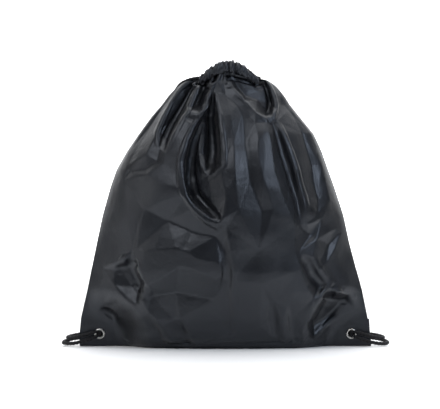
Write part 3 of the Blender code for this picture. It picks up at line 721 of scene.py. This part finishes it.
def settled(p, guide, base, out, pinned, hold, up, across, bending, limit, rounds):
    """The cloth p after its threads have gone back towards their own lengths, up and across.

    hold is how strongly each point keeps to the guide. The cloth stays within limit outside the base.
    """
    p = p.copy()
    free = np.where(pinned, 0.0, 1.0)
    turned, free_turned, across_turned = p.swapaxes(0, 1), free.T, across.T
    diagonal = np.hypot(up[:, :-1], across[:-1])
    for _ in range(rounds):
        p += (free * hold)[..., None] * (guide - p)
        for r in (0, 1):
            for c in (0, 1):
                rest = diagonal[r::2, c::2]
                low, high = (slice(r, -1, 2), slice(r + 1, None, 2))
                near, far = (slice(c, -1, 2), slice(c + 1, None, 2))
                pull(p, free, (low, near), (high, far), rest, 0.10)
                pull(p, free, (low, far), (high, near), rest, 0.10)
        for step, shrink, stiffness in bending:
            for points, loose, lengths in ((p, free, up), (turned, free_turned, across_turned)):
                pull_rows(points, loose, reaches(lengths, step) * shrink, step, stiffness, only_push=True)
        pull_rows(p, free, up, 1, 0.9)
        pull_rows(turned, free_turned, across_turned, 1, 0.9)
        above = np.maximum(0, ((p - base) * out).sum(-1) - limit) * free
        p -= above[..., None] * out
        p[..., 2] = np.maximum(p[..., 2], FLOOR_Z)
        p[..., 1] = np.maximum(p[..., 1], SEAM_Y)
    return p


def reaches(lengths, step):
    """The distances along the cloth from each row to the row so many steps on."""
    along = np.concatenate([np.zeros((1,) + lengths.shape[1:]), np.cumsum(lengths, axis=0)])
    return along[step:] - along[:-step]


def thread_lengths(grid, spare):
    """The cloth's lengths from row to row: the grid's own, and some spare."""
    return np.linalg.norm(np.diff(grid, axis=0), axis=2) * (1 + spare)


def panel_cloth(creases, seed, limit):
    """One panel's settled surface, an array [row, column, xyz] with its depth along +Y."""
    cloth = None
    for level in LEVELS:
        rng = np.random.default_rng(seed)
        columns, rows = COLUMNS // level, ROWS // level
        base = smooth_panel(columns, rows)
        out = outward_normals(base)
        x, z = base[..., 0], base[..., 2]
        s = np.linspace(-1, 1, columns + 1)
        height = np.linspace(0, 1, rows + 1)[:, None]
        room = np.clip((base[..., 1] - SEAM_Y - 0.002) / 0.012, 0, 1)
        press = blurred(pressed(x, z, creases), CREASE_ROUNDING // level)
        press = press * room * smooth((height - 0.06) / 0.06)
        wave = GATHER_SWING * gather_wave(s, seed)
        gathers = wave * smooth((height - GATHERED_FROM) / GATHERED_OVER) ** 1.5
        guide = base - press[..., None] * (0, 1, 0)
        guide += (gathers + 0.0008 * room * ripples(x, z, rng, 0.06))[..., None] * out
        angle = MOUTH_SWEEP * s
        outwards = wave + STITCH_DEPTH * CHANNEL_LEAN
        guide[-1] = mouth_line(angle, stitch_line(s)) + outwards[:, None] * mouth_outwards(angle)
        guide[0], guide[:, 0], guide[:, -1] = base[0], base[:, 0], base[:, -1]
        cloth = guide if cloth is None else finer(cloth)
        pinned = room == 0
        pinned[[0, -1]] = True
        pinned[:, [0, -1]] = True
        cloth[pinned] = guide[pinned]
        hold = HOLD[level] + PRESSED_HOLD * np.clip(press / 0.008, 0, 1)
        up = thread_lengths(guide, SPARE_UP)
        across = thread_lengths(guide.swapaxes(0, 1), SPARE_ACROSS).T
        rounds = ROUNDS[level] // 1
        cloth = settled(cloth, guide, base, out, pinned, hold, up, across, BENDING[level], limit, rounds)
    return cloth


def panel(side, creases, seed, limit, bend_z, material):
    """One panel with its eyelet holes. Its half of the mouth slides; bend_z is not used."""
    cloth = panel_cloth(creases, seed, limit) * (1, side, 1)
    edges = cloth[:, [0, -1]].copy()
    middle = (cloth[:-1, :-1] + cloth[1:, :-1] + cloth[:-1, 1:] + cloth[1:, 1:]) / 4
    keep = np.ones(middle.shape[:2], bool)
    inner, outer = EYELET_HOLE + 0.0010, EYELET_RIM + 0.0003
    for hand in (LEFT, RIGHT):
        keep &= np.hypot(middle[..., 0] - hand * EYELET_X, middle[..., 2] - EYELET_Z) > 1.1 * CELL
        dx, dz = cloth[..., 0] - hand * EYELET_X, cloth[..., 2] - EYELET_Z
        r = np.hypot(dx, dz) + 1e-9
        grow = np.where(r < outer, (inner + (outer - inner) * r / outer) / r, 1.0)
        cloth[..., 0] = hand * EYELET_X + dx * grow
        cloth[..., 2] = EYELET_Z + dz * grow
    obj = grid_object(f"{WORD[side]}_cloth", cloth, material, turned=side == REAR, keep=keep)
    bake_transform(obj)
    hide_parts(f"{WORD[side]}_panel")
    return obj, edges


def channel(side, seed, material):
    """The gathered channel that the drawcords run through: a soft tube of cloth, in puffs."""
    rng = np.random.default_rng(seed + 50)
    s = np.linspace(-1, 1, 240)
    turn = np.linspace(0, 2 * math.pi, 28, endpoint=False)
    wave = gather_wave(s, seed)
    angle = MOUTH_SWEEP * s
    taper = 1 - 0.36 * np.abs(s) ** 4
    thick = CHANNEL_HALF_THICK * taper * (1 + 0.12 * wave + 0.08 * ripples(s, 0 * s, rng, 0.05))
    tall = CHANNEL_HALF_TALL * taper * (1 + 0.12 * wave + 0.10 * ripples(s, 0 * s, rng, 0.09))
    across = np.sign(np.cos(turn)) * np.abs(np.cos(turn)) ** 0.75
    upwards = np.sign(np.sin(turn)) * np.abs(np.sin(turn)) ** 0.75
    across *= 1 - 0.65 * np.clip(-upwards, 0, 1) ** 2
    offset = GATHER_SWING * wave[:, None] * (0.55 + 0.45 * np.abs(upwards)) + thick[:, None] * across
    offset -= CHANNEL_LEAN * upwards
    offset += 0.0006 * ripples(s[:, None] + 0 * turn, 0 * s[:, None] + turn / 12, rng, 0.09)
    rings = mouth_line(angle)[:, None] + offset[..., None] * mouth_outwards(angle)[:, None]
    rings[..., 2] += tall[:, None] * upwards
    rings *= (1, side, 1)
    rings = rings if side == FRONT else rings[:, ::-1]
    obj = tube_object(f"{WORD[side]}_channel", rings, material, 0.04)
    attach(obj, f"{WORD[side]}_rim")
    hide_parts(f"{WORD[side]}_drawstring_hem")
    return obj


def stitches(side, seed, material):
    """The row of stitches that closes the channel along its lower edge."""
    points, faces, uvs = [], [], []
    rings, sides = 5, 6
    turn = np.linspace(0, 2 * math.pi, sides, endpoint=False)
    for s in np.linspace(-0.97, 0.97, 62):
        ends = np.linspace(s - 0.011, s + 0.011, rings)
        angle = MOUTH_SWEEP * ends
        out = mouth_outwards(angle)
        reach = GATHER_SWING * gather_wave(ends, seed) * 0.9 + CHANNEL_HALF_THICK * 0.80
        centre = mouth_line(angle, -0.72 * CHANNEL_HALF_TALL) + reach[:, None] * out
        radius = 0.00038 * np.array([0.2, 0.9, 1.0, 0.9, 0.2])
        ring = centre[:, None] + radius[:, None, None] * (
            np.cos(turn)[:, None] * out[:, None] + np.sin(turn)[:, None] * np.array((0, 0, 1.0))
        )
        first = len(points)
        points += list((ring * (1, side, 1)).reshape(-1, 3))
        uvs += [(0, 0.0004 * k) for k in range(rings * sides)]
        faces += [tuple(first + k for k in face) for face in grid_faces(rings, sides, True, side == REAR)]
    obj = mesh_object(f"{WORD[side]}_channel_stitches", points, faces, uvs, material)
    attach(obj, f"{WORD[side]}_rim")
    return obj


def side_seam(name, hand, edge, material):
    """The side seam's allowance: a narrow strip of turned cloth between the panels' edges."""
    edge = edge[edge[:, 2] < NECK_Z + 0.012]
    corners = [(-0.0002, -0.8), (0.0065, -0.6), (0.0065, 0.6), (-0.0002, 0.8)]
    offsets = [np.array((-hand, 0, 0)) * inwards + np.array((0, y * SEAM_Y, 0)) for inwards, y in corners]
    rings = np.stack([edge * (1, 0, 1) + offset for offset in offsets], axis=1)
    obj = tube_object(name + "_cloth", rings, material)
    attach(obj, "bag")
    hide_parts(name)
    return obj


# ------------------------------------------------------------
# Cords and metal


def catmull(before, start, end, after, t):
    """Catmull-Rom point between start and end."""
    return 0.5 * (
        2 * start
        + (end - before) * t
        + (2 * before - 5 * start + 4 * end - after) * t**2
        + (3 * start - before - 3 * end + after) * t**3
    )


def evenly(line, step):
    """The line's points again, spaced evenly by about the step."""
    along = distances(line)
    at = np.linspace(0, along[-1], max(2, round(along[-1] / step) + 1))
    return np.stack([np.interp(at, along, line[:, axis]) for axis in range(3)], -1)


def smooth_route(route, step):
    """A smooth line through the route's points, spaced evenly."""
    route = np.array(route, float)
    whole = np.concatenate([[2 * route[0] - route[1]], route, [2 * route[-1] - route[-2]]])
    shares = np.linspace(0, 1, 12)[:-1]
    line = [catmull(*whole[k : k + 4], t) for k in range(len(route) - 1) for t in shares]
    return evenly(np.array(line + [route[-1]]), step)


def strap_line(route, hand, bag):
    """A strap cord's centre line. It lies on the bag's rear, and clear of it where the mouth slides."""
    placed = []
    for k, (out, back, up) in enumerate(route):
        follow = 1 - float(smooth(k / 5))
        placed.append((hand * out + MOUTH_X * follow, back, up - hand * CORD_SPACING / 2 * follow))
    line = blurred(smooth_route(placed, 0.002), 4, (0,))
    for _ in range(6):
        for k, point in enumerate(line):
            if not (point[1] > 0.012 and 0 < k < len(line) - 1):
                continue
            need = CORD / 2 + 0.0006 + REAR_TRAVEL * float(smooth((point[2] - 0.285) / 0.02))
            nearest, _, _, distance = bag.find_nearest(Vector(point))
            if distance < need or point[1] < nearest.y:
                line[k, 1] += 0.6 * (need - (distance if point[1] > nearest.y else -distance))
        line = blurred(line, 2, (0,))
    return evenly(line, CORD_RING)


def cord_mesh(name, centres, radii, material):
    """A tube of three twisted strands along the centres. radii is one radius, or one for each centre."""
    radii = np.broadcast_to(radii, (len(centres),))
    tangents = np.gradient(centres, axis=0)
    tangents /= np.linalg.norm(tangents, axis=1, keepdims=True)
    side = np.cross(tangents[0], (0.3, 0.2, 1.0))
    turn = np.linspace(0, 2 * math.pi, CORD_SIDES, endpoint=False)
    rings = np.empty((len(centres), CORD_SIDES, 3))
    for k, (centre, tangent) in enumerate(zip(centres, tangents)):
        side = side - tangent * side.dot(tangent)
        side /= np.linalg.norm(side)
        up = np.cross(tangent, side)
        strand = np.abs(np.cos(1.5 * turn + math.pi * k * CORD_RING / STRAND_PITCH))
        radius = radii[k] * (0.68 + 0.38 * strand)
        rings[k] = centre + radius[:, None] * (np.cos(turn)[:, None] * side + np.sin(turn)[:, None] * up)
    return tube_object(name, rings, material, math.pi * CORD)


def strap_cord(word, hand, label, route, bag, material):
    """A cord in three pieces, from the mouth down the bag's rear, over the floor and into the eyelet."""
    line = strap_line(route, hand, bag)
    leave = round(EXIT_PIECE / CORD_RING)
    arrive = len(line) - 1 - int(np.argmax(hand * line[::-1, 0] > EYELET_BEND_X))
    radii = np.full(len(line), CORD / 2)
    radii[-12:] = np.linspace(CORD / 2, EYELET_CORD, 12)
    parts = {"top": (0, leave + 2), "length": (leave, arrive + 2), "end": (arrive, len(line))}
    top, middle, end = (
        cord_mesh(f"{word}_strap_cord_{label}_{part}", line[start:stop], radii[start:stop], material)
        for part, (start, stop) in parts.items()
    )
    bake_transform(top)
    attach(middle, "bag")
    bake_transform(end)
    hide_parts(f"{word}_strap_cord_{label}")


def channel_cords(side, material):
    """The two drawcords inside one half of the mouth."""
    word = WORD[side]
    for owner, lift in (("left", CORD_SPACING / 2), ("right", -CORD_SPACING / 2)):
        line = mouth_line(MOUTH_SWEEP * np.linspace(-1, 1, 160), lift) * (1, side, 1)
        obj = cord_mesh(f"{owner}_cord_in_{word}_channel", evenly(line, CORD_RING), CORD / 2, material)
        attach(obj, f"{word}_rim")
        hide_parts(f"{owner}_drawcord_in_{word}_hem")


def cord_bridge(owner, hand, lift, material):
    """A drawcord's short bend from one half of the mouth into the other, in two pieces that part there."""
    start = mouth_line(np.array(hand * MOUTH_SWEEP), lift)
    leave = math.atan2(MOUTH_HALF_WIDTH * math.cos(MOUTH_SWEEP), MOUTH_HALF_DEPTH * math.sin(MOUTH_SWEEP))
    radius = start[1] / math.sin(leave)
    for side, word in WORD.items():
        angle = np.linspace(-0.02, leave, 14)
        out = hand * radius * (np.cos(angle) - math.cos(leave))
        line = np.stack([start[0] + out, side * radius * np.sin(angle), start[2] + 0 * angle], -1)
        obj = cord_mesh(f"{owner}_cord_bridge_{word}", line, CORD / 2, material)
        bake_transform(obj)
        if side == FRONT:
            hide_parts(f"{owner}_drawcord_bridge")


def knot(word, hand, material):
    """The overhand knot behind an eyelet, the two cord ends that go through it, and their tails."""
    x = hand * EYELET_X
    t = np.linspace(0, 2 * math.pi, 90)
    loops = np.stack([
        np.sin(t) + 2 * np.sin(2 * t),
        -1.15 * np.sin(3 * t),
        np.cos(t) - 2 * np.cos(2 * t),
    ], -1)
    lines = {f"{word}_overhand_knot": np.array((x, KNOT_Y, EYELET_Z)) + loops * KNOT_CORD}
    for label, lift, out in (("upper", EYELET_CORD, 0.012), ("lower", -EYELET_CORD, -0.013)):
        through = [(x, y, EYELET_Z + lift) for y in np.linspace(-0.0062, 0.007, 8)]
        tail = [
            (x, 0.0100, 0.0150),
            (x + out * 0.7, 0.0125, 0.0120),
            (x + out, 0.0145, 0.0075),
            (x + out * 1.15, 0.0160, 0.0036),
        ]
        lines[f"{word}_cord_end_{label}"] = np.array(through)
        lines[f"{word}_cord_tail_{label}"] = np.array(tail)
    for name, line in lines.items():
        centres = smooth_route(line, CORD_RING) if len(line) < 20 else evenly(line, CORD_RING)
        obj = cord_mesh(name, centres, EYELET_CORD if "end" in name else KNOT_CORD, material)
        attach(obj, f"{word}_cord_end")
        if "knot" in name:
            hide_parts(f"{word}_cord_knot")


def eyelet(word, hand, material):
    """The eyelet's rolled rim and barrel in front, and the washer that it is set into behind."""
    turn = np.radians(np.linspace(0, 180, 13))
    rim = [(5.25 + 1.45 * math.cos(a), -1.05 - 2.1 * math.sin(a) ** 0.8) for a in turn]
    front = rim + [(3.8, 2.3), (4.4, 2.3), (4.5, -1.05)]
    behind = [(5.75 + 1.25 * math.cos(a), 1.05 + 1.7 * math.sin(a) ** 0.8) for a in turn]
    for name, profile in ((f"{word}_eyelet", front), (f"{word}_eyelet_washer", behind)):
        obj = ring_object(name + "_ring", profile, hand, material)
        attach(obj, "bag")
        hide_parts(name)


def repaint(nodes, material):
    """Gives CAD nodes that stay as they are this scene's material."""
    for name in nodes:
        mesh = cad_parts[name].data
        mesh.materials.clear()
        mesh.materials.append(material)


# ------------------------------------------------------------


def main():
    studio()
    nylon = nylon_material("black_coated_nylon", NYLON_DARK, NYLON_LIGHT, 0.36)
    # The channel's nylon gets lighter colours than the panels': painted light standing in for light it lacks,
    # not a different cloth
    lighter_painted_hem_cloth = nylon_material("painted_lighter_channel_nylon", CHANNEL_PAINTED_LIT_DARK, CHANNEL_PAINTED_LIT_LIGHT, 0.40)
    cord_look, tape, nickel = cord_material(), tape_material(), nickel_material()

    cloths, edges = {}, {}
    for side, settings in PANELS.items():
        cloths[side], edges[side] = panel(side, *settings, nylon)
    for side, cloth in cloths.items():
        seed = PANELS[side][1]
        pieces = (channel(side, seed, lighter_painted_hem_cloth), stitches(side, seed, tape))
        channel_cords(side, cord_look)

    bag = BVHTree.FromObject(cloths[REAR], bpy.context.evaluated_depsgraph_get())
    for column, (word, hand) in enumerate((("left", LEFT), ("right", RIGHT))):
        strap_cord(word, hand, "inner", INNER_ROUTE, bag, cord_look)
        strap_cord(word, hand, "outer", OUTER_ROUTE, bag, cord_look)
        knot(word, hand, cord_look)
        eyelet(word, hand, nickel)
        side_seam(f"{word}_side_seam", hand, edges[FRONT][:, column], tape)
    cord_bridge("left", RIGHT, CORD_SPACING / 2, cord_look)
    cord_bridge("right", LEFT, -CORD_SPACING / 2, cord_look)
    repaint(("bottom_seam", "left_corner_patch", "right_corner_patch"), tape)


main()
